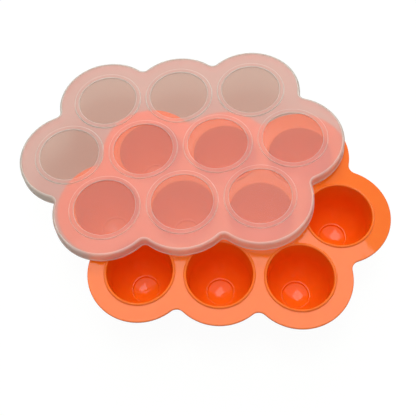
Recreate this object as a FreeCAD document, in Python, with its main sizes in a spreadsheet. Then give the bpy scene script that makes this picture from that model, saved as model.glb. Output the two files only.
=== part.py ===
import FreeCAD, Part
import math
import os
import Sketcher
from FreeCAD import Placement, Rotation, Vector

# Ten-cup silicone freezer tray for baby food, with the translucent lid that
# clips over it. The lid is shown taken off: its rim stands on the tray at the
# left and right, and its plate leans on the bead of the left back cup.
# Origin: middle of the tray, on the surface that the cup bottoms stand on.
# +X runs along the row of four cups, +Y to the back row, +Z up. Millimetres.

document = FreeCAD.newDocument("baby_food_freezer_tray")
sheet = document.addObject("Spreadsheet::Sheet", "sizes")

DRIVING_SIZES = {
    # rows of three, four and three cups, like a honeycomb: the flat between the
    # beads in a row, and how far the beads of one row reach in between the next
    "gap_in_row": 6.4,
    "row_nesting": 2.9,
    # one cup, measured inside
    "opening_radius": 26.1,
    "cup_taper": 1.3,
    "straight_depth": 20.0,
    "cup_depth": 46.7,
    "disc_radius": 11.2,
    "disc_step": 0.5,
    "disc_dish": 2.0,
    "cup_wall": 1.6,
    "cup_floor": 1.4,
    # sealing bead round each opening
    "bead_width": 2.2,
    "bead_height": 1.2,
    "bead_rounding": 0.9,
    # flange that joins the cups
    "flange_margin": 13.0,
    "flange_thickness": 2.4,
    "flange_rounding": 0.7,
    "notch_radius": 7.0,
    "root_radius": 1.5,
    # strip of flange that goes with each cup, outside its bead
    "brim_width": 1.2,
    # lid: plate, skirt and the ridges that fit over the beads
    "lid_clearance": 0.5,
    "skirt_wall": 1.3,
    "skirt_drop": 8.5,
    "plate_thickness": 1.2,
    "shoulder_radius": 2.2,
    "rim_proud": 0.4,
    "rim_height": 1.2,
    "rim_rounding": 0.35,
    "bead_clearance": 0.2,
    "ridge_wall": 0.8,
    "ridge_rounding": 0.8,
    # where the lid was laid down on the tray
    "seat_gap": 0.3,
    "lid_shift_x": -37.5,
    "lid_shift_y": 56.1,
    "lid_turn": 5.6,
}
ROWS = {
    "front": (-1, ("left", "middle", "right")),
    "middle": (0, ("far_left", "left", "right", "far_right")),
    "back": (1, ("left", "middle", "right")),
}

# numbers that stand for the points of a curve and for the origin of a sketch
START_POINT, END_POINT, CENTRE_POINT = range(1, 4)
ORIGIN = (-1, 1)
# how near a height or radius is to the one that is looked for
NEAR = 1e-4
# how finely the lid's underside is felt for the places that it rests on
SAMPLE_DEGREES = 3
SAMPLE_STEP = 1.5
SETTLING_PASSES = 4
FAR = 1000.0


class Size:
    """A length together with the sheet formula that features are bound to."""

    def __init__(self, value, formula):
        self.value = value
        self.formula = formula

    def __add__(self, other):
        return Size(self.value + other.value, f"({self.formula} + {other.formula})")

    def __sub__(self, other):
        return Size(self.value - other.value, f"({self.formula} - {other.formula})")

    def __mul__(self, factor):
        return Size(self.value * factor, f"({self.formula} * {factor})")

    def __neg__(self):
        return self * -1


size = {}
for line_number, (alias, number) in enumerate(DRIVING_SIZES.items(), start=1):
    sheet.set(f"A{line_number}", alias)
    sheet.set(f"B{line_number}", str(number))
    sheet.setAlias(f"B{line_number}", alias)
    size[alias] = Size(number, f"sizes.{alias}")
document.recompute()

nothing = Size(0.0, "0")
disc_depth = size["cup_depth"] + size["disc_step"]
tray_height = disc_depth + size["disc_dish"] + size["cup_floor"]
bead_outside = size["opening_radius"] + size["bead_width"]
cup_pitch = bead_outside * 2 + size["gap_in_row"]
row_pitch = bead_outside * 2 - size["row_nesting"]
lobe_radius = bead_outside + size["flange_margin"]


def bind(target, name, length):
    target.setExpression(name, length.formula)


def sketch_at(body, name, role, across, upward, outward):
    """A sketch on one of the body's own planes, moved by three sizes."""
    planes = body.Origin.OriginFeatures
    plane = next(item for item in planes if item.Role == role)
    sketch = body.newObject("Sketcher::SketchObject", name)
    sketch.AttachmentSupport = [(plane, "")]
    sketch.MapMode = "FlatFace"
    bind(sketch, "AttachmentOffset.Base.x", across)
    bind(sketch, "AttachmentOffset.Base.y", upward)
    bind(sketch, "AttachmentOffset.Base.z", outward)
    return sketch


def fix_distance(sketch, kind, curve, point, length):
    """Ties one point's distance across or up from the sketch's origin to a size."""
    number = sketch.addConstraint(
        Sketcher.Constraint(kind, *ORIGIN, curve, point, length.value))
    bind(sketch, f"Constraints[{number}]", length)


def fix_point(sketch, curve, point, x, y):
    fix_distance(sketch, "DistanceX", curve, point, x)
    fix_distance(sketch, "DistanceY", curve, point, y)


def fix_radius(sketch, curve, radius):
    number = sketch.addConstraint(Sketcher.Constraint("Radius", curve, radius.value))
    bind(sketch, f"Constraints[{number}]", radius)


def add_arc(sketch, centre, radius, start, end):
    """An anticlockwise arc between the directions of two points."""
    first = math.atan2(start.y - centre.y, start.x - centre.x)
    last = math.atan2(end.y - centre.y, end.x - centre.x)
    circle = Part.Circle(centre, Vector(0, 0, 1), radius)
    sketch.addGeometry(Part.ArcOfCircle(circle, first, last), False)


def tray_outline(body, name, level, growth):
    """Eight lobes round the outer cups, joined by notches, grown by one size."""
    sketch = sketch_at(body, name, "XY_Plane", nothing, nothing, level)
    lobe = lobe_radius + growth
    notch = size["notch_radius"] - growth
    cups = [(-cup_pitch, -row_pitch), (nothing, -row_pitch), (cup_pitch, -row_pitch),
            (cup_pitch * 1.5, nothing), (cup_pitch, row_pitch), (nothing, row_pitch),
            (-cup_pitch, row_pitch), (cup_pitch * -1.5, nothing)]
    count = len(cups)
    lobe_centres = [Vector(x.value, y.value, 0) for x, y in cups]
    notch_centres = []
    for index, here in enumerate(lobe_centres):
        step = lobe_centres[(index + 1) % count] - here
        outwards = Vector(step.y, -step.x, 0).normalize()
        reach = lobe.value + notch.value
        height = math.sqrt(reach**2 - (step.Length / 2)**2)
        notch_centres.append(here + step / 2 + outwards * height)
    for index, centre in enumerate(lobe_centres):
        add_arc(sketch, centre, lobe.value, notch_centres[index - 1], notch_centres[index])
    for index, centre in enumerate(notch_centres):
        following = lobe_centres[(index + 1) % count]
        add_arc(sketch, centre, notch.value, following, lobe_centres[index])
    for index in range(count):
        hollow = count + index
        following = (index + 1) % count
        sketch.addConstraint(
            Sketcher.Constraint("Tangent", index, END_POINT, hollow, END_POINT))
        sketch.addConstraint(
            Sketcher.Constraint("Tangent", hollow, START_POINT, following, START_POINT))
        fix_point(sketch, index, CENTRE_POINT, *cups[index])
        fix_radius(sketch, index, lobe)
        fix_radius(sketch, hollow, notch)
    return sketch


def turned_profile(sketch, corners, rounded_side=None, dished_side=None):
    """A closed profile of (radius, height) corners, in turn anticlockwise.

    The rounded side is an arc that runs smoothly into the straight side after
    it. The dished side is an arc that lies level where it meets the axis.
    """
    count = len(corners)
    points = [Vector(radius.value, height.value, 0) for radius, height in corners]
    for index, start in enumerate(points):
        end = points[(index + 1) % count]
        if index == rounded_side:
            along = (points[(index + 2) % count] - end).normalize()
            inwards = Vector(-along.y, along.x, 0)
            chord = start - end
            radius = chord.Length**2 / (2 * inwards.dot(chord))
            add_arc(sketch, end + inwards * radius, radius, start, end)
        elif index == dished_side:
            chord = end - start
            radius = chord.Length**2 / (2 * chord.y)
            add_arc(sketch, start + Vector(0, radius, 0), radius, start, end)
            fix_distance(sketch, "DistanceX", index, CENTRE_POINT, nothing)
        else:
            sketch.addGeometry(Part.LineSegment(start, end), False)
    for index in range(count):
        joint = "Tangent" if index == rounded_side else "Coincident"
        following = (index + 1) % count
        sketch.addConstraint(
            Sketcher.Constraint(joint, index, END_POINT, following, START_POINT))
        fix_point(sketch, index, START_POINT, *corners[index])


def extrude(body, kind, name, sketch, length):
    """A pad upwards from the sketch, or a pocket downwards from it."""
    feature = body.newObject(f"PartDesign::{kind}", name)
    feature.Profile = sketch
    bind(feature, "Length", length)
    document.recompute()
    return feature


def turn_round(body, kind, name, sketch):
    """A revolution or groove of the sketch round the cup's own axis."""
    feature = body.newObject(f"PartDesign::{kind}", name)
    feature.Profile = sketch
    feature.ReferenceAxis = (sketch, ["V_Axis"])
    feature.Angle = 360
    document.recompute()
    return feature


def repeat_along_row(body, row_name, name, sketch, features):
    copies = len(ROWS[row_name][1])
    pattern = body.newObject("PartDesign::LinearPattern", name)
    pattern.Originals = features
    pattern.Direction = (sketch, ["H_Axis"])
    bind(pattern, "Length", cup_pitch * (copies - 1))
    pattern.Occurrences = copies
    body.Tip = pattern
    document.recompute()
    return pattern


def round_edges(body, name, level, edge_radii, rounding):
    """Rounds the edges at one height of the body whose arcs have these radii."""
    base = body.Tip
    chosen = []
    for number, edge in enumerate(base.Shape.Edges, start=1):
        box = edge.BoundBox
        flat = abs(box.ZMin - level.value) < NEAR and abs(box.ZMax - level.value) < NEAR
        if flat and any(abs(edge.Curve.Radius - radius.value) < NEAR for radius in edge_radii):
            chosen.append(f"Edge{number}")
    feature = body.newObject("PartDesign::Fillet", name)
    feature.Base = (base, chosen)
    bind(feature, "Radius", rounding)
    document.recompute()
    return feature


def cup_middle(row_name, number):
    """Where a cup stands in its row: sizes along X and along Y."""
    side, places = ROWS[row_name]
    return cup_pitch * (number - (len(places) - 1) / 2), row_pitch * side


def first_cup(row_name, level):
    """Where a row's first sketch goes: across, upward and outward sizes."""
    x, y = cup_middle(row_name, 0)
    return x, level, -y


# The tray is one moulding: a flange with ten cups that hang from it.
tray = document.addObject("PartDesign::Body", "tray")
tray.Label = "tray"
flange_underside = tray_height - size["flange_thickness"]
flange_sketch = tray_outline(tray, "flange_outline", flange_underside, nothing)
extrude(tray, "Pad", "flange_plate", flange_sketch, size["flange_thickness"])
outline_radii = (lobe_radius, size["notch_radius"])
round_edges(tray, "flange_top_rounding", tray_height, outline_radii, size["flange_rounding"])
round_edges(tray, "flange_under_rounding", flange_underside, outline_radii,
            size["flange_rounding"])

waist_radius = size["opening_radius"] - size["cup_taper"]
foot_radius = size["disc_radius"] + size["cup_wall"]
bowl_radius = size["opening_radius"] + size["cup_wall"]
inside_flange = size["flange_thickness"] * -0.5
bowl_outside = [
    (nothing, -tray_height),
    (foot_radius, -tray_height),
    (waist_radius + size["cup_wall"], -size["straight_depth"]),
    (bowl_radius, -size["flange_thickness"]),
    (bowl_radius, inside_flange),
    (bead_outside, inside_flange),
    (bead_outside, size["bead_height"]),
    (nothing, size["bead_height"]),
]
bowl_inside = [
    (nothing, -disc_depth - size["disc_dish"]),
    (size["disc_radius"], -disc_depth),
    (size["disc_radius"], -size["cup_depth"]),
    (waist_radius, -size["straight_depth"]),
    (size["opening_radius"], nothing),
    (size["opening_radius"], size["bead_height"]),
    (nothing, size["bead_height"]),
]
for row_name in ROWS:
    place = first_cup(row_name, tray_height)
    outside_sketch = sketch_at(tray, f"{row_name}_bowl_outside", "XZ_Plane", *place)
    turned_profile(outside_sketch, bowl_outside, rounded_side=1)
    outside = turn_round(tray, "Revolution", f"{row_name}_bowl", outside_sketch)
    inside_sketch = sketch_at(tray, f"{row_name}_bowl_inside", "XZ_Plane", *place)
    turned_profile(inside_sketch, bowl_inside, rounded_side=2, dished_side=0)
    inside = turn_round(tray, "Groove", f"{row_name}_hollow", inside_sketch)
    repeat_along_row(tray, row_name, f"{row_name}_cups", outside_sketch, [outside, inside])

round_edges(tray, "root_rounding", flange_underside, (bowl_radius,), size["root_radius"])
bead_top = tray_height + size["bead_height"]
round_edges(tray, "bead_rounding", bead_top, (size["opening_radius"], bead_outside),
            size["bead_rounding"])

# The moulding is handed on as its flange and its ten cups, parted round the
# beads, so that each piece is a plain shape. They stay face to face.
cup_nodes = []
cup_cutters = []
for row_name, (side, places) in ROWS.items():
    for number, place_name in enumerate(places):
        x, y = cup_middle(row_name, number)
        cutter = document.addObject("Part::Cylinder", f"{row_name}_{place_name}_cutter")
        bind(cutter, "Radius", bead_outside + size["brim_width"])
        bind(cutter, "Height", tray_height + size["bead_height"] * 3)
        bind(cutter, "Placement.Base.x", x)
        bind(cutter, "Placement.Base.y", y)
        bind(cutter, "Placement.Base.z", -size["bead_height"])
        cup = document.addObject("Part::Common", f"{row_name}_{place_name}_cup")
        cup.Label = f"{row_name}_{place_name}_cup"
        cup.Base = tray
        cup.Tool = cutter
        cup_nodes.append(cup)
        cup_cutters.append(cutter)
all_cutters = document.addObject("Part::MultiFuse", "all_cutters")
all_cutters.Shapes = cup_cutters
flange_node = document.addObject("Part::Cut", "flange")
flange_node.Label = "flange"
flange_node.Base = tray
flange_node.Tool = all_cutters
document.recompute()


# The lid is one moulding too. It is drawn level, with the underside of its
# plate at zero and its middle over the middle of the tray.
lid = document.addObject("PartDesign::Body", "lid")
lid.Label = "lid"
skirt_growth = size["lid_clearance"] + size["skirt_wall"]
rim_growth = skirt_growth + size["rim_proud"]
skirt_bottom = -size["skirt_drop"]
skirt_sketch = tray_outline(lid, "skirt_outline", skirt_bottom, skirt_growth)
extrude(lid, "Pad", "plate_and_skirt", skirt_sketch,
        size["skirt_drop"] + size["plate_thickness"])
round_edges(lid, "shoulder", size["plate_thickness"],
            (lobe_radius + skirt_growth, size["notch_radius"] - skirt_growth),
            size["shoulder_radius"])
rim_sketch = tray_outline(lid, "rim_outline", skirt_bottom, rim_growth)
extrude(lid, "Pad", "rim", rim_sketch, size["rim_height"])
rim_radii = (lobe_radius + rim_growth, size["notch_radius"] - rim_growth)
round_edges(lid, "rim_top_rounding", skirt_bottom + size["rim_height"], rim_radii,
            size["rim_rounding"])
round_edges(lid, "rim_under_rounding", skirt_bottom, rim_radii, size["rim_rounding"])
inside_outline = tray_outline(lid, "inside_outline", nothing, size["lid_clearance"])
extrude(lid, "Pocket", "inside", inside_outline, size["skirt_drop"])
inside_radii = (lobe_radius + size["lid_clearance"],
                size["notch_radius"] - size["lid_clearance"])
round_edges(lid, "inside_shoulder", nothing, inside_radii, size["skirt_wall"])

channel_inside = size["opening_radius"] - size["bead_clearance"]
channel_outside = bead_outside + size["bead_clearance"]
channel_top = size["bead_height"] + size["bead_clearance"]
ridge_inside = channel_inside - size["ridge_wall"]
ridge_outside = channel_outside + size["ridge_wall"]
ridge_top = channel_top + size["ridge_wall"]
inside_plate = size["plate_thickness"] * 0.5


def ring_profile(inner, outer, bottom, top):
    return [(inner, bottom), (outer, bottom), (outer, top), (inner, top)]


for row_name in ROWS:
    place = first_cup(row_name, nothing)
    ridge_sketch = sketch_at(lid, f"{row_name}_ridge_section", "XZ_Plane", *place)
    turned_profile(ridge_sketch,
                   ring_profile(ridge_inside, ridge_outside, inside_plate, ridge_top))
    ridge = turn_round(lid, "Revolution", f"{row_name}_ridge", ridge_sketch)
    channel_sketch = sketch_at(lid, f"{row_name}_channel_section", "XZ_Plane", *place)
    turned_profile(channel_sketch,
                   ring_profile(channel_inside, channel_outside, nothing, channel_top))
    channel = turn_round(lid, "Groove", f"{row_name}_channel", channel_sketch)
    repeat_along_row(lid, row_name, f"{row_name}_ridges", ridge_sketch, [ridge, channel])
round_edges(lid, "ridge_rounding", ridge_top, (ridge_inside, ridge_outside),
            size["ridge_rounding"])
round_edges(lid, "channel_rounding", channel_top, (channel_inside, channel_outside),
            size["bead_rounding"])


# The lid lies turned a little and let down until three points round its middle
# rest on the tray: two of its rim, and one of its plate on a back cup's bead.
all_cups = []
for row_name, (side, places) in ROWS.items():
    for number in range(len(places)):
        x, y = cup_middle(row_name, number)
        all_cups.append(Vector(x.value, y.value, 0))


def polar(centre, radius, degrees):
    angle = math.radians(degrees)
    return centre + Vector(radius * math.cos(angle), radius * math.sin(angle), 0)


def off_nearest_cup(point):
    return min(math.hypot(point.x - cup.x, point.y - cup.y) for cup in all_cups)


def tray_top_at(point):
    """Height of the tray's top under a point, or nothing over a hole or outside."""
    off_cup = off_nearest_cup(point)
    if off_cup < size["opening_radius"].value or off_cup > lobe_radius.value:
        return None
    return (bead_top if off_cup <= bead_outside.value else tray_height).value


def lid_underside():
    """Points all over the lid's rim and the underside of its plate."""
    points = []
    for cup in all_cups:
        for degrees in range(0, 360, SAMPLE_DEGREES):
            for growth in (size["lid_clearance"], rim_growth):
                reach = (lobe_radius + growth).value
                point = polar(cup, reach, degrees)
                if off_nearest_cup(point) > reach - NEAR:
                    points.append(point + Vector(0, 0, skirt_bottom.value))
            radius = 0.0
            while radius < lobe_radius.value:
                if not channel_inside.value < radius < channel_outside.value:
                    points.append(polar(cup, radius, degrees))
                radius += SAMPLE_STEP
    return points


def plane_through(corners):
    """Height at the lid's middle and slopes of the plane through three points."""
    first, second, third = corners
    normal = (second - first).cross(third - first)
    slope_x = -normal.x / normal.z
    slope_y = -normal.y / normal.z
    return first.z - slope_x * first.x - slope_y * first.y, slope_x, slope_y


def encloses_middle(corners):
    turns = []
    for index, corner in enumerate(corners):
        following = corners[(index + 1) % 3]
        turns.append(corner.x * following.y - corner.y * following.x > 0)
    return turns[0] == turns[1] == turns[2]


def settle(supports):
    """The plane that rests on the supports with the lid's middle held between."""
    corners = [polar(Vector(0, 0, -FAR), FAR, degrees) for degrees in (90, 210, 330)]
    for _ in range(len(supports)):
        height, slope_x, slope_y = plane_through(corners)
        highest = max(
            supports, key=lambda point: point.z - slope_x * point.x - slope_y * point.y)
        if highest.z - slope_x * highest.x - slope_y * highest.y < height + NEAR:
            break
        for index in range(3):
            swapped = corners[:index] + [highest] + corners[index + 1:]
            if encloses_middle(swapped):
                corners = swapped
                break
    return height, slope_x, slope_y


up = Vector(0, 0, 1)
turn = Rotation(up, size["lid_turn"].value)
shift = Vector(size["lid_shift_x"].value, size["lid_shift_y"].value, 0)
lie = turn
underside = lid_underside()
for _ in range(SETTLING_PASSES):
    upright = lie.multVec(up).z
    supports = []
    for point in underside:
        top = tray_top_at(lie.multVec(point) + shift)
        if top is not None:
            on_plate = lie.multVec(Vector(point.x, point.y, 0))
            needed = top + size["seat_gap"].value - point.z * upright
            supports.append(Vector(on_plate.x, on_plate.y, needed))
    height, slope_x, slope_y = settle(supports)
    lie = Rotation(up, Vector(-slope_x, -slope_y, 1)).multiply(turn)
lid.Placement = Placement(shift + up * height, lie)
document.recompute()


for item in document.Objects:
    if "Invalid" in item.State or "Error" in item.State:
        raise RuntimeError(f"{item.Name} did not compute: {item.State}")
nodes = [flange_node, *cup_nodes, lid]
for node in nodes:
    shape = node.Shape
    if shape.isNull() or not shape.isValid() or len(shape.Solids) != 1:
        raise RuntimeError(f"{node.Label} is not one valid solid")
os.makedirs("parts", exist_ok=True)
for node in nodes:
    node.Shape.exportStep(f"parts/{node.Label}.step")
    box = node.Shape.BoundBox
    print(f"{node.Label}: {box.XLength:.1f} x {box.YLength:.1f} x {box.ZLength:.1f} mm,"
          f" {node.Shape.Volume / 1000:.1f} cm3")
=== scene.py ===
import math

import bmesh
import bpy
from mathutils import Matrix, Vector


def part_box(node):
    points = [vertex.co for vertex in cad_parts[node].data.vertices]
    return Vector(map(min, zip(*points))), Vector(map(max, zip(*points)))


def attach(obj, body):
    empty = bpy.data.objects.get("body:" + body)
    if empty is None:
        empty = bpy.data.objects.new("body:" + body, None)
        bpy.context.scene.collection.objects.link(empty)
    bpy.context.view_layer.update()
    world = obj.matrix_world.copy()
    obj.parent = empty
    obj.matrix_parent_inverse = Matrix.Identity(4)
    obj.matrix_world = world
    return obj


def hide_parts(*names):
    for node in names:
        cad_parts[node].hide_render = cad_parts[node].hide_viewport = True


# Ten-cup silicone freezer tray for baby food, with its frosted lid laid on top.
# Sizes of the pieces are in millimetres; their meshes are made in metres.
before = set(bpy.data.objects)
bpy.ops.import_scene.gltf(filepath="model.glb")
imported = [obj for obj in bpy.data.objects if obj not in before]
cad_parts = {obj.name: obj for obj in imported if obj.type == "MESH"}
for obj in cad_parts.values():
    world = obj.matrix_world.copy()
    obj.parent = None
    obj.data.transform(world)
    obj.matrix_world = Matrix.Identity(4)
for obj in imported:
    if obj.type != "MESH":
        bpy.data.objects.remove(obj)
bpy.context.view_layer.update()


# The silicone tray: one glossy orange moulding of ten round cups in a lobed flange.
# Every cup is a section spun round its axis, the flange's edge is a section spun
# through the arcs of the outline, and the flat of the flange is filled between them.
MILLIMETRE = 0.001
OPENING_RADIUS = 26.1
CUP_TAPER = 1.3
WAIST_RADIUS = OPENING_RADIUS - CUP_TAPER
STRAIGHT_DEPTH = 20.0
CUP_DEPTH = 46.7
DISC_RADIUS = 11.2
DISC_STEP = 0.5
DISC_DISH = 2.0
RING_WIDTH = 0.6
RING_ROUNDING = 0.25
CUP_WALL = 1.6
FOOT_ROUNDING = 0.6
BEAD_WIDTH = 2.2
BEAD_OUTSIDE = OPENING_RADIUS + BEAD_WIDTH
BEAD_HEIGHT = 1.2
BEAD_ROUNDING = 1.08
BEAD_ROOT = 0.3
ROOT_RADIUS = 1.5
FLANGE_THICKNESS = 2.4
FLANGE_ROUNDING = 0.7
FLANGE_MARGIN = 13.0
LOBE_RADIUS = BEAD_OUTSIDE + FLANGE_MARGIN
NOTCH_RADIUS = 7.0
GAP_IN_ROW = 6.4
ROW_NESTING = 2.9
CUP_PITCH = BEAD_OUTSIDE * 2 + GAP_IN_ROW
ROW_PITCH = BEAD_OUTSIDE * 2 - ROW_NESTING
DISH_STEPS = 8
INSIDE_STEPS = 22
OUTSIDE_STEPS = 16
SPIN_STEP = math.radians(4.5)
MERGE_DISTANCE = 0.001
HAZE_RANGE = (0.3, 0.7)
COLOUR_A, COLOUR_B, MIXED_COLOUR = 6, 7, 2
TRAY_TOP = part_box("flange")[1].z / MILLIMETRE
UP = Vector((0, 0, 1))

LOBES = [Vector((x * CUP_PITCH, y * ROW_PITCH, 0)) for x, y in (
    (-1, -1), (0, -1), (1, -1), (1.5, 0), (1, 1), (0, 1), (-1, 1), (-1.5, 0))]
CUPS = LOBES + [Vector((side * CUP_PITCH, 0, 0)) for side in (-0.5, 0.5)]


def arc(centre, start, end, steps):
    """Points of the shorter arc round a centre, from start to end."""
    first, last = Vector(start) - Vector(centre), Vector(end) - Vector(centre)
    turned = -first.angle_signed(last)
    points = []
    for step in range(steps + 1):
        points.append(Vector(centre) + Matrix.Rotation(turned * step / steps, 2) @ first)
    return points


def rounded(before, corner, after, radius, steps=4):
    """Points of the rounding at a corner between two straight sides."""
    back = (Vector(before) - Vector(corner)).normalized()
    onward = (Vector(after) - Vector(corner)).normalized()
    half = back.angle(onward) / 2
    middle = Vector(corner) + (back + onward).normalized() * (radius / math.sin(half))
    reach = radius / math.tan(half)
    return arc(middle, Vector(corner) + back * reach, Vector(corner) + onward * reach, steps)


def wall_arc(foot, waist, above, steps):
    """A cup's wall from its foot to its waist, running smoothly into the side above."""
    chord = Vector(foot) - Vector(waist)
    along = (Vector(above) - Vector(waist)).normalized()
    inwards = Vector((-along.y, along.x))
    centre = Vector(waist) + inwards * (chord.length_squared / (2 * inwards.dot(chord)))
    return arc(centre, foot, waist, steps)


def spin_section(mesh, section, centre, first, turned):
    """A band of faces: a section of (radius, height) points turned round a centre."""
    outward = Vector((math.cos(first), math.sin(first), 0))
    verts = [mesh.verts.new(centre + outward * point[0] + UP * point[1]) for point in section]
    edges = [mesh.edges.new(pair) for pair in zip(verts, verts[1:])]
    bmesh.ops.spin(mesh, geom=verts + edges, cent=centre, axis=UP, angle=turned,
                   steps=math.ceil(turned / SPIN_STEP), use_merge=turned == math.tau)


def spin_cup(mesh, sections):
    """One cup's sections spun a full turn round the middle."""
    for section in sections:
        spin_section(mesh, section, Vector(), 0, math.tau)
    bmesh.ops.remove_doubles(mesh, verts=mesh.verts, dist=MERGE_DISTANCE)
    return mesh.verts[:] + mesh.edges[:] + mesh.faces[:]


def copy_cup(mesh, whole_cup):
    """Copies the cup to where the ten cups are and takes the one in the middle away."""
    for cup in CUPS:
        copied = bmesh.ops.duplicate(mesh, geom=whole_cup)["geom"]
        verts = [part for part in copied if isinstance(part, bmesh.types.BMVert)]
        bmesh.ops.translate(mesh, verts=verts, vec=cup)
    originals = [part for part in whole_cup if isinstance(part, bmesh.types.BMVert)]
    bmesh.ops.delete(mesh, geom=originals, context="VERTS")


def spin_outline(mesh, section):
    """The moulding's edge: a section of (growth, height) points led round the outline."""
    notches = []
    for index, lobe in enumerate(LOBES):
        step = LOBES[(index + 1) % len(LOBES)] - lobe
        away = step.cross(UP).normalized()
        reach = math.sqrt((LOBE_RADIUS + NOTCH_RADIUS)**2 - (step.length / 2)**2)
        notches.append(lobe + step / 2 + away * reach)
    for index, lobe in enumerate(LOBES):
        notch = notches[index]
        following = LOBES[(index + 1) % len(LOBES)]
        for centre, start, end, radius, side in (
                (lobe, notches[index - 1], notch, LOBE_RADIUS, 1),
                (notch, following, lobe, NOTCH_RADIUS, -1)):
            first = math.atan2(start.y - centre.y, start.x - centre.x)
            last = math.atan2(end.y - centre.y, end.x - centre.x)
            points = [(radius + side * growth, height) for growth, height in section]
            spin_section(mesh, points, centre, first, (last - first) % math.tau)
    bmesh.ops.remove_doubles(mesh, verts=mesh.verts, dist=MERGE_DISTANCE)


def fill_flat(mesh, level, facing):
    """Fills the flat between the outline and the rings round the cups at one height."""
    loops = [edge for edge in mesh.edges if edge.is_boundary
             and all(abs(vert.co.z - level) < MERGE_DISTANCE for vert in edge.verts)]
    bmesh.ops.triangle_fill(mesh, edges=loops, use_beauty=True, normal=facing)


def make_piece(name, mesh, place, materials):
    """Turns the millimetre mesh into a smooth piece in its place."""
    bmesh.ops.recalc_face_normals(mesh, faces=mesh.faces)
    bmesh.ops.transform(mesh, matrix=Matrix.Scale(MILLIMETRE, 4) @ place, verts=mesh.verts)
    data = bpy.data.meshes.new(name)
    mesh.to_mesh(data)
    mesh.free()
    data.shade_smooth()
    for material in materials:
        data.materials.append(material)
    piece = bpy.data.objects.new(name, data)
    bpy.context.scene.collection.objects.link(piece)
    normals = piece.modifiers.new("even_normals", "WEIGHTED_NORMAL")
    normals.mode = "FACE_AREA"
    normals.weight = 100
    return piece


def linear(hex_colour):
    """A hex sRGB colour as the linear numbers that a shader takes."""
    channels = [int(hex_colour[place:place + 2], 16) / 255 for place in (1, 3, 5)]
    curved = [c / 12.92 if c <= 0.04045 else ((c + 0.055) / 1.055)**2.4 for c in channels]
    return (*curved, 1.0)


def add_node(tree, kind, links=(), inputs=(), **settings):
    """Adds a shader node with its settings, socket values and incoming links."""
    made = tree.nodes.new(kind)
    for setting, value in settings.items():
        setattr(made, setting, value)
    for socket, value in dict(inputs).items():
        made.inputs[socket].default_value = value
    for socket, source in dict(links).items():
        tree.links.new(source, made.inputs[socket])
    return made


def empty_material(name):
    """A material without nodes, and the tree that its nodes go into."""
    material = bpy.data.materials.new(name)
    material.use_nodes = True
    material.node_tree.nodes.clear()
    return material, material.node_tree


def moulded(name, colour, grain, waves, haze_width, roughness, values, second_colour=None):
    """A moulded surface: a fine grain over slow waves, and a gloss that drifts a little.

    The grain and the waves have a width and a depth each, and the drift of the gloss, which
    also drifts to the second colour, has a width, all in millimetres. Roughness is a range.
    """
    material, tree = empty_material(name)
    place = add_node(tree, "ShaderNodeTexCoord")
    wave_pattern, grain_pattern, haze = [
        add_node(tree, "ShaderNodeTexNoise", {"Vector": place.outputs["Object"]},
                 {"Scale": 1 / (width * MILLIMETRE)})
        for width in (waves[0], grain[0], haze_width)]
    wavy = add_node(tree, "ShaderNodeBump", {"Height": wave_pattern.outputs["Fac"]},
                    {"Distance": waves[1] * MILLIMETRE})
    grained = add_node(
        tree, "ShaderNodeBump",
        {"Height": grain_pattern.outputs["Fac"], "Normal": wavy.outputs["Normal"]},
        {"Distance": grain[1] * MILLIMETRE})
    gloss = add_node(tree, "ShaderNodeMapRange", {"Value": haze.outputs["Fac"]},
                     {"From Min": HAZE_RANGE[0], "From Max": HAZE_RANGE[1],
                      "To Min": roughness[0], "To Max": roughness[1]})
    links = {"Roughness": gloss.outputs["Result"], "Normal": grained.outputs["Normal"]}
    if second_colour:
        tint = add_node(
            tree, "ShaderNodeMix", {"Factor": haze.outputs["Fac"]},
            {COLOUR_A: linear(colour), COLOUR_B: linear(second_colour)}, data_type="RGBA")
        links["Base Color"] = tint.outputs[MIXED_COLOUR]
    surface = add_node(tree, "ShaderNodeBsdfPrincipled", links,
                       {"Base Color": linear(colour), **values})
    add_node(tree, "ShaderNodeOutputMaterial", {"Surface": surface.outputs["BSDF"]})
    return material


# Silicone rubber from a polished mould: a wet-looking gloss over a saturated orange that
# light enters a little. The mould's grain is drawn coarser than it is, so that it shows,
# and the flat stretches wave slowly, which bends what they mirror.
silicone = moulded(
    "glossy_orange_silicone", "#FB7010", second_colour="#FD7716",
    grain=(0.8, 0.004), waves=(26.0, 0.3), haze_width=12.0, roughness=(0.02, 0.04),
    values={"IOR": 1.41, "Subsurface Weight": 0.15, "Subsurface Radius": (1.0, 0.3, 0.12),
            "Subsurface Scale": 3.0 * MILLIMETRE})

tray_mesh = bmesh.new()
disc_low = (0, TRAY_TOP - CUP_DEPTH - DISC_STEP - DISC_DISH)
disc_rim = (DISC_RADIUS, TRAY_TOP - CUP_DEPTH - DISC_STEP)
cup_foot = (DISC_RADIUS, TRAY_TOP - CUP_DEPTH)
waist = (WAIST_RADIUS, TRAY_TOP - STRAIGHT_DEPTH)
mouth = (OPENING_RADIUS, TRAY_TOP)
bead_inside = (OPENING_RADIUS, TRAY_TOP + BEAD_HEIGHT)
bead_outside = (BEAD_OUTSIDE, TRAY_TOP + BEAD_HEIGHT)
bead_foot = (BEAD_OUTSIDE, TRAY_TOP)
flat_start = (BEAD_OUTSIDE + BEAD_ROOT, TRAY_TOP)
dish_radius = (DISC_RADIUS**2 + DISC_DISH**2) / (2 * DISC_DISH)
wall_inside = [
    point for point in wall_arc(cup_foot, waist, mouth, INSIDE_STEPS)
    if point[0] > DISC_RADIUS + RING_WIDTH]
ring_inside = (DISC_RADIUS, wall_inside[0][1])
ring_outside = (DISC_RADIUS + RING_WIDTH, wall_inside[0][1])
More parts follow.
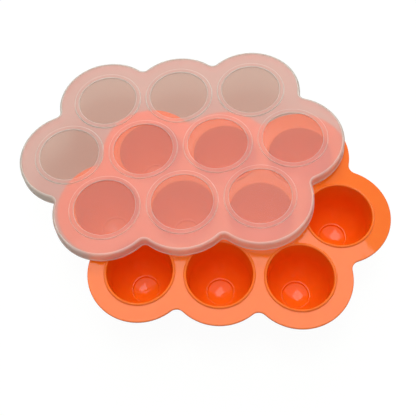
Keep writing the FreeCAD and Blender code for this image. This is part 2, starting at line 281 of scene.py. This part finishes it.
cup_inside = [
    *arc((0, disc_low[1] + dish_radius), disc_low, disc_rim, DISH_STEPS)[:-1],
    disc_rim,
    *rounded(disc_rim, ring_inside, ring_outside, RING_ROUNDING, steps=2),
    *wall_inside,
    mouth,
    *rounded(mouth, bead_inside, bead_outside, BEAD_ROUNDING),
    *rounded(bead_inside, bead_outside, bead_foot, BEAD_ROUNDING),
    *rounded(bead_outside, bead_foot, flat_start, BEAD_ROOT, steps=2),
]
flange_under = TRAY_TOP - FLANGE_THICKNESS
foot_edge = (DISC_RADIUS + CUP_WALL, 0)
outer_waist = (WAIST_RADIUS + CUP_WALL, waist[1])
outer_root = (OPENING_RADIUS + CUP_WALL, flange_under)
root_end = (outer_root[0] + ROOT_RADIUS, flange_under)
wall_outside = wall_arc(foot_edge, outer_waist, outer_root, OUTSIDE_STEPS)
cup_outside = [
    (0, 0),
    *rounded((0, 0), foot_edge, wall_outside[1], FOOT_ROUNDING, steps=3),
    *wall_outside[1:],
    *rounded(outer_waist, outer_root, root_end, ROOT_RADIUS),
]
flange_edge = [
    *rounded((-LOBE_RADIUS, TRAY_TOP), (0, TRAY_TOP), (0, flange_under), FLANGE_ROUNDING),
    *rounded((0, TRAY_TOP), (0, flange_under), (-LOBE_RADIUS, flange_under), FLANGE_ROUNDING),
]
one_cup = spin_cup(tray_mesh, [cup_inside, cup_outside])
spin_outline(tray_mesh, flange_edge)
copy_cup(tray_mesh, one_cup)
fill_flat(tray_mesh, TRAY_TOP, UP)
fill_flat(tray_mesh, flange_under, -UP)
tray = make_piece("silicone_tray", tray_mesh, Matrix(), [silicone])
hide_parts(*[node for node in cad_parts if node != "lid"])
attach(tray, "tray_body")


# The lid: one frosted, half clear moulding whose ridges fit over the tray's beads.
# It is drawn level with the underside of its plate at zero, its sections spun like
# the tray's, and then laid down as it rests. The discs inside the ridges are clearer.
LID_HEIGHT = 4.749
LID_SHIFT = Vector((-37.5, 56.1, TRAY_TOP + LID_HEIGHT))
LID_TURN = math.radians(5.6)
LID_SLOPES = (0.0421, -0.07328)
LID_CLEARANCE = 0.5
SKIRT_WALL = 1.3
SKIRT_DROP = 8.5
PLATE_THICKNESS = 1.2
SHOULDER_RADIUS = 2.2
SHOULDER_LINE = 0.5
STEP_DROP = 4.4
SKIRT_STEP = 0.2
RIM_PROUD = 0.4
RIM_HEIGHT = 1.2
RIM_ROUNDING = 0.35
BEAD_CLEARANCE = 0.2
RIDGE_WALL = 0.8
RIDGE_ROUNDING = 0.68
RIDGE_ROOT = 0.3
DISC_RINGS = 3
HAZE_SPREAD = 0.03
# The edge finish is painted paler and more opaque than the plate: a painted highlight along
# the ridges, the shoulder and the rim.
PLATE_FINISH, DISC_FINISH, PAINTED_PALE_EDGE, PAINTED_PALE_SKIRT = range(4)


def frosted(name, colour, roughness, opacity, transmission=0.0, glow_reach=0.0):
    """Milky polypropylene from a finely blasted mould: a matt veil with a faint haze.

    Given a glow reach, light wanders that many millimetres through it by subsurface
    scattering; a paler colour given to its edges is a painted highlight.
    The blasted grain is drawn coarser than it is, so that it shows.
    """
    return moulded(
        name, colour, grain=(0.5, 0.006), waves=(30.0, 0.3), haze_width=9.0,
        roughness=(roughness - HAZE_SPREAD, roughness + HAZE_SPREAD),
        values={"IOR": 1.45, "Alpha": opacity, "Transmission Weight": transmission,
                "Subsurface Weight": 1.0 if glow_reach else 0.0,
                "Subsurface Radius": (1.0, 1.0, 1.0),
                "Subsurface Scale": glow_reach * MILLIMETRE})


lid_mesh = bmesh.new()
channel_inside = OPENING_RADIUS - BEAD_CLEARANCE
channel_outside = BEAD_OUTSIDE + BEAD_CLEARANCE
channel_top = BEAD_HEIGHT + BEAD_CLEARANCE
ridge_inside = channel_inside - RIDGE_WALL
ridge_outside = channel_outside + RIDGE_WALL
ridge_top = channel_top + RIDGE_WALL
ring_radii = [ridge_inside * ring / DISC_RINGS for ring in range(DISC_RINGS)]
over_cup = [
    *[(radius, PLATE_THICKNESS) for radius in ring_radii],
    *rounded((0, PLATE_THICKNESS), (ridge_inside, PLATE_THICKNESS),
             (ridge_inside, ridge_top), RIDGE_ROOT, steps=2),
    *rounded((ridge_inside, PLATE_THICKNESS), (ridge_inside, ridge_top),
             (ridge_outside, ridge_top), RIDGE_ROUNDING),
    *rounded((ridge_inside, ridge_top), (ridge_outside, ridge_top),
             (ridge_outside, PLATE_THICKNESS), RIDGE_ROUNDING),
    *rounded((ridge_outside, ridge_top), (ridge_outside, PLATE_THICKNESS),
             (LOBE_RADIUS, PLATE_THICKNESS), RIDGE_ROOT, steps=2),
]
under_cup = [
    *[(radius, 0) for radius in ring_radii],
    (channel_inside, 0),
    *rounded((channel_inside, 0), (channel_inside, channel_top),
             (channel_outside, channel_top), BEAD_ROUNDING),
    *rounded((channel_inside, channel_top), (channel_outside, channel_top),
             (channel_outside, 0), BEAD_ROUNDING),
    (channel_outside, 0),
]
skirt = LID_CLEARANCE + SKIRT_WALL
rim = skirt + RIM_PROUD
rim_top = RIM_HEIGHT - SKIRT_DROP
lid_edge = [
    *rounded((-LOBE_RADIUS, PLATE_THICKNESS), (skirt, PLATE_THICKNESS),
             (skirt, -STEP_DROP), SHOULDER_RADIUS, steps=8),
    (skirt, -STEP_DROP),
    (skirt - SKIRT_STEP, -STEP_DROP - SKIRT_STEP),
    (skirt - SKIRT_STEP, rim_top),
    *rounded((skirt, rim_top), (rim, rim_top), (rim, -SKIRT_DROP), RIM_ROUNDING, steps=3),
    *rounded((rim, rim_top), (rim, -SKIRT_DROP), (LID_CLEARANCE, -SKIRT_DROP),
             RIM_ROUNDING, steps=3),
    (LID_CLEARANCE, -SKIRT_DROP),
    *rounded((LID_CLEARANCE, -SKIRT_DROP), (LID_CLEARANCE, 0), (-LOBE_RADIUS, 0),
             SKIRT_WALL, steps=5),
]
one_cup = spin_cup(lid_mesh, [over_cup, under_cup])
# The discs inside the ridges take the clearer finish; the ridges' tops take the paler edge
# finish, a painted highlight along each ring.
for face in lid_mesh.faces:
    middle = face.calc_center_median()
    off_axis = middle.xy.length
    if off_axis < ridge_inside:
        face.material_index = DISC_FINISH
    elif middle.z > PLATE_THICKNESS and not channel_inside < off_axis < channel_outside:
        face.material_index = PAINTED_PALE_EDGE
cup_faces = set(lid_mesh.faces)
spin_outline(lid_mesh, lid_edge)
# Round the outline the shoulder's top band and the rim take the edge finish, a painted
# highlight. The skirt between takes a paler colour than the plate, painted light on a side
# that faces little light.
for face in lid_mesh.faces:
    if face not in cup_faces:
        level = face.calc_center_median().z
        on_edge = level < rim_top or level > PLATE_THICKNESS - SHOULDER_LINE
        face.material_index = PAINTED_PALE_EDGE if on_edge else PAINTED_PALE_SKIRT
copy_cup(lid_mesh, one_cup)
fill_flat(lid_mesh, PLATE_THICKNESS, UP)
fill_flat(lid_mesh, 0, -UP)
lean = UP.rotation_difference(Vector((-LID_SLOPES[0], -LID_SLOPES[1], 1)))
lid_place = (Matrix.Translation(LID_SHIFT) @ lean.to_matrix().to_4x4()
             @ Matrix.Rotation(LID_TURN, 4, "Z"))
lid = make_piece("frosted_lid", lid_mesh, lid_place, [
    frosted("frosted_plate", "#FFBCAE", roughness=0.4, opacity=0.36, transmission=0.1),
    frosted("smoother_discs", "#FFB4A0", roughness=0.25, opacity=0.24),
    # Painted highlight: the edges are paler than the plate, with some real scattering through
    # the plastic from the glow reach.
    frosted("edges_painted_pale", "#FFE0D4", roughness=0.25, opacity=0.5, glow_reach=3.0),
    # Painted light: the skirt is paler than the plate, with real scattering through the
    # plastic from the glow reach.
    frosted("skirt_painted_pale", "#FFDACC", roughness=0.35, opacity=0.45, glow_reach=10.0)])
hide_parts("lid")
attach(lid, "lid_body")


# The floor: a plain pale surface that looks white beside the object and in its gloss,
# with a trace of the object's shadow. Through the lid it is a pale table top, and from
# below it isn't seen, so that the underside of the object is.
FLOOR_SIZE = 6.0
WHITE_SHARE = 0.86
WHITE_STRENGTH = 1.12
WHITE = (1, 1, 1, 1)


def white_to(tree, ray, eye):
    """One for rays that see white: mirrored and refracted ones, and the eye's as given."""
    mirrored = add_node(
        tree, "ShaderNodeMath",
        {0: ray.outputs["Is Glossy Ray"], 1: ray.outputs["Is Transmission Ray"]},
        operation="MAXIMUM")
    either = add_node(tree, "ShaderNodeMath", {0: eye, 1: mirrored.outputs[0]},
                      operation="MAXIMUM")
    return either.outputs[0]


floor_mesh = bmesh.new()
bmesh.ops.create_grid(floor_mesh, x_segments=1, y_segments=1, size=FLOOR_SIZE / 2)
floor_data = bpy.data.meshes.new("floor")
floor_mesh.to_mesh(floor_data)
floor_mesh.free()
floor_paint, tree = empty_material("plain_pale_floor")
ray = add_node(tree, "ShaderNodeLightPath")
not_through_lid = add_node(
    tree, "ShaderNodeMath",
    {0: ray.outputs["Is Camera Ray"], 1: ray.outputs["Transparent Depth"]},
    operation="SUBTRACT", use_clamp=True)
white_share = add_node(
    tree, "ShaderNodeMath", {0: white_to(tree, ray, not_through_lid.outputs[0])},
    {1: WHITE_SHARE}, operation="MULTIPLY")
matt = add_node(tree, "ShaderNodeBsdfDiffuse", inputs={"Color": linear("#9CA69A")})
white = add_node(tree, "ShaderNodeEmission",
                 inputs={"Color": WHITE, "Strength": WHITE_STRENGTH})
from_above = add_node(
    tree, "ShaderNodeMixShader",
    {"Fac": white_share.outputs[0], 1: matt.outputs[0], 2: white.outputs[0]})
from_below = add_node(tree, "ShaderNodeBsdfTransparent")
side = add_node(tree, "ShaderNodeNewGeometry")
seen = add_node(
    tree, "ShaderNodeMixShader",
    {"Fac": side.outputs["Backfacing"], 1: from_above.outputs[0], 2: from_below.outputs[0]})
add_node(tree, "ShaderNodeOutputMaterial", {"Surface": seen.outputs[0]})
floor_data.materials.append(floor_paint)
floor = bpy.data.objects.new("floor", floor_data)
bpy.context.scene.collection.objects.link(floor)


# The light: a softbox turned corner down, above and behind the tray, which the flange
# and the bottoms of the cups mirror, two broad soft lights, and an even pale room.
SOFTBOX_HEIGHT = 4.0
SOFTBOX_MIDDLE = Vector((-0.03, 0.32, 1)) * SOFTBOX_HEIGHT
SOFTBOX_REACH = (0.3 * SOFTBOX_HEIGHT, 0.41 * SOFTBOX_HEIGHT)
SOFTBOX_STRENGTH = 3.7
softbox_mesh = bmesh.new()
bmesh.ops.create_circle(softbox_mesh, segments=4, radius=1.0, cap_ends=True)
bmesh.ops.transform(
    softbox_mesh, verts=softbox_mesh.verts,
    matrix=Matrix.Translation(SOFTBOX_MIDDLE) @ Matrix.Diagonal((*SOFTBOX_REACH, 1, 1)))
softbox_data = bpy.data.meshes.new("softbox")
softbox_mesh.to_mesh(softbox_data)
softbox_mesh.free()
glow, tree = empty_material("softbox_cloth")
shine = add_node(tree, "ShaderNodeEmission",
                 inputs={"Color": WHITE, "Strength": SOFTBOX_STRENGTH})
add_node(tree, "ShaderNodeOutputMaterial", {"Surface": shine.outputs[0]})
softbox_data.materials.append(glow)
softbox = bpy.data.objects.new("softbox", softbox_data)
softbox.visible_camera = False
bpy.context.scene.collection.objects.link(softbox)


def soft_light(name, place, width, height, radiance):
    """A broad light turned to the tray that adds no mirror image of its own."""
    light = bpy.data.lights.new(name, "AREA")
    light.shape = "RECTANGLE"
    light.size = width
    light.size_y = height
    light.energy = radiance * math.pi * width * height
    panel = bpy.data.objects.new(name, light)
    panel.location = place
    panel.rotation_euler = (-Vector(place)).to_track_quat("-Z", "Y").to_euler()
    panel.visible_camera = False
    panel.visible_glossy = False
    bpy.context.scene.collection.objects.link(panel)


soft_light("window", place=(0.0, 1.6, 1.4), width=1.8, height=1.0, radiance=3.2)
soft_light("ceiling", place=(0.0, 0.2, 2.5), width=1.2, height=1.2, radiance=4.0)

ROOM_STRENGTH = 0.28
world = bpy.data.worlds.new("pale_room")
bpy.context.scene.world = world
world.use_nodes = True
tree = world.node_tree
tree.nodes.clear()
ray = add_node(tree, "ShaderNodeLightPath")
room = add_node(tree, "ShaderNodeBackground",
                inputs={"Color": WHITE, "Strength": ROOM_STRENGTH})
backdrop = add_node(tree, "ShaderNodeBackground", inputs={"Color": WHITE, "Strength": 1.0})
seen = add_node(
    tree, "ShaderNodeMixShader",
    {"Fac": white_to(tree, ray, ray.outputs["Is Camera Ray"]),
     1: room.outputs[0], 2: backdrop.outputs[0]})
add_node(tree, "ShaderNodeOutputWorld", {"Surface": seen.outputs[0]})


# The camera: above the front of the tray, where the photograph was taken from.
# Its place and turn come from the rings of the cups and of the lid in the photograph.
CAMERA_HEIGHT = 519.70
CAMERA_PLACE = Vector((16.32, -233.00, TRAY_TOP + CAMERA_HEIGHT))
CAMERA_TURN = (24.4767, 1.8082, 2.8424)
CAMERA_LENS = 60.58
CAMERA_REACH = 20.0
camera_data = bpy.data.cameras.new("camera")
camera_data.lens = CAMERA_LENS
camera_data.clip_end = CAMERA_REACH
camera = bpy.data.objects.new("camera", camera_data)
camera.location = CAMERA_PLACE * MILLIMETRE
camera.rotation_euler = [math.radians(turn) for turn in CAMERA_TURN]
bpy.context.scene.collection.objects.link(camera)
bpy.context.scene.camera = camera
bpy.context.scene.view_settings.view_transform = "Standard"

bpy.context.view_layer.update()
